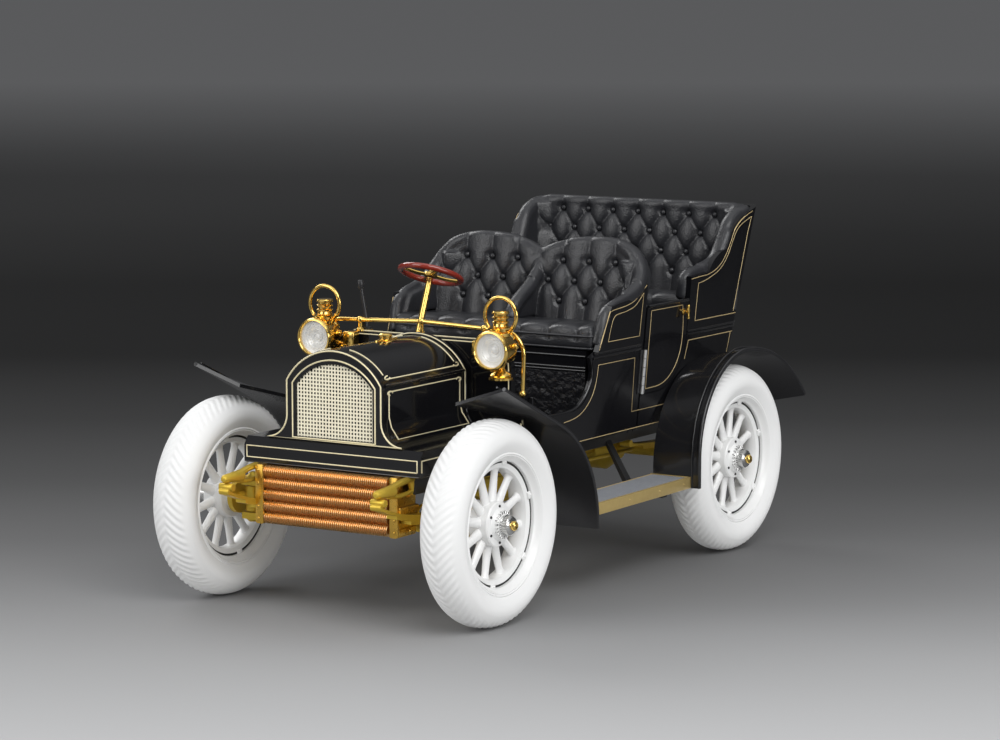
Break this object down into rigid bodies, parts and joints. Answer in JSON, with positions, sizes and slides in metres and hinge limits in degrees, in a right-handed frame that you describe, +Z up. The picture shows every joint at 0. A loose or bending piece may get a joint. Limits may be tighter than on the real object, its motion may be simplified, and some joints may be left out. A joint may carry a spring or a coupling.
{
  "type": "scale model brass era touring car",
  "caption": "Collector's scale model of an early open touring car with artillery wheels, buttoned seats, rear entry doors, brass lamps and working steering.",
  "frame": {"origin": "on the ground, in the middle of the overall length, on the car's centre plane", "axes": "+X forward along the car, +Y to its left, +Z up"},
  "size_m": [0.1836, 0.096, 0.0939],
  "materials": {
    "gloss_black": "deep gloss black paint",
    "satin_black": "satin black",
    "frame_black": "semi-gloss black",
    "gold_plate": "bright plated gold",
    "gold_paint": "gold paint",
    "copper": "copper",
    "grille_cream": "satin cream mesh",
    "wheel_white": "gloss white",
    "tyre_white": "matt white vinyl",
    "seat_black": "satin moulded leather look",
    "mat_black": "textured mat",
    "rim_red": "gloss",
    "board_grey": "satin"
  },
  "bodies": {
    "chassis": {"frame": "frame_black", "front_springs": "gold_paint", "rear_springs": "gold_paint", "front_axle": "gold_paint", "rear_axle": "gold_paint", "engine": "gold_paint", "radiator": "copper", "radiator_plates": "gold_plate", "apron": "gloss_black", "bonnet": "gloss_black", "grille": "grille_cream", "dash": "gloss_black", "dash_rail": "gold_plate", "control_lever": "satin_black", "lamp_left": "gold_plate", "lamp_right": "gold_plate", "steering_column": "gold_plate", "floor": "mat_black", "side_panel_left": "gloss_black", "side_panel_right": "gloss_black", "seat_box": "gloss_black", "front_cushion": "seat_black", "front_backs": "seat_black", "rear_body": "gloss_black", "rear_seat_box": "gloss_black", "rear_cushion": "seat_black", "rear_backrest": "seat_black", "front_mudguards": "satin_black", "rear_mudguards": "satin_black", "running_boards": "board_grey", "step_brackets": "frame_black"},
    "knuckle_left": {"knuckle_left": "gold_paint"},
    "knuckle_right": {"knuckle_right": "gold_paint"},
    "tie_rod": {"tie_rod": "gold_paint"},
    "steering": {"steering_wheel": "rim_red"},
    "door_left": {"door_left": "gloss_black", "handle_left": "gold_plate"},
    "door_right": {"door_right": "gloss_black", "handle_right": "gold_plate"},
    "road_wheel_front_left": {"wheel_front_left": "wheel_white", "tyre_front_left": "tyre_white"},
    "road_wheel_front_right": {"wheel_front_right": "wheel_white", "tyre_front_right": "tyre_white"},
    "road_wheel_rear_left": {"wheel_rear_left": "wheel_white", "tyre_rear_left": "tyre_white"},
    "road_wheel_rear_right": {"wheel_rear_right": "wheel_white", "tyre_rear_right": "tyre_white"}
  },
  "joints": [
    {"name": "steer_left", "type": "hinge", "parent": "chassis", "child": "knuckle_left", "pos_m": [0.06619, 0.031, 0.02565], "axis": [0, 0, 1], "range_deg": [-22, 22]},
    {"name": "steer_right", "type": "hinge", "parent": "chassis", "child": "knuckle_right", "pos_m": [0.06619, -0.031, 0.02565], "axis": [0, 0, 1], "range_deg": [-22, 22]},
    {"name": "steering_turn", "type": "hinge", "parent": "chassis", "child": "steering", "pos_m": [0.00449, -0.017, 0.0783], "axis": [-0.3746, 0, 0.9272], "range_deg": [-110.5, 110.5]},
    {"name": "tie_rod_slide", "type": "slide", "parent": "chassis", "child": "tie_rod", "axis": [0, 1, 0], "range_m": [-0.0039, 0.0039]},
    {"name": "door_left_swing", "type": "hinge", "parent": "chassis", "child": "door_left", "pos_m": [-0.02271, 0.03301, 0.055], "axis": [0, -0.0906, -0.9959], "range_deg": [0, 70]},
    {"name": "door_right_swing", "type": "hinge", "parent": "chassis", "child": "door_right", "pos_m": [-0.02271, -0.03301, 0.055], "axis": [0, -0.0906, 0.9959], "range_deg": [0, 70]},
    {"name": "front_left_roll", "type": "hinge", "parent": "knuckle_left", "child": "road_wheel_front_left", "pos_m": [0.06619, 0.04, 0.02565], "axis": [0, 1, 0], "continuous": true},
    {"name": "front_right_roll", "type": "hinge", "parent": "knuckle_right", "child": "road_wheel_front_right", "pos_m": [0.06619, -0.04, 0.02565], "axis": [0, 1, 0], "continuous": true},
    {"name": "rear_left_roll", "type": "hinge", "parent": "chassis", "child": "road_wheel_rear_left", "pos_m": [-0.05661, 0.04, 0.02565], "axis": [0, 1, 0], "continuous": true},
    {"name": "rear_right_roll", "type": "hinge", "parent": "chassis", "child": "road_wheel_rear_right", "pos_m": [-0.05661, -0.04, 0.02565], "axis": [0, 1, 0], "continuous": true}
  ],
  "couplings": [
    {"joint": "steer_right", "follows": "steer_left", "ratio": 1},
    {"joint": "steering_turn", "follows": "steer_left", "ratio": 5},
    {"joint": "tie_rod_slide", "follows": "steer_left", "m_per_rad": -0.01}
  ]
}
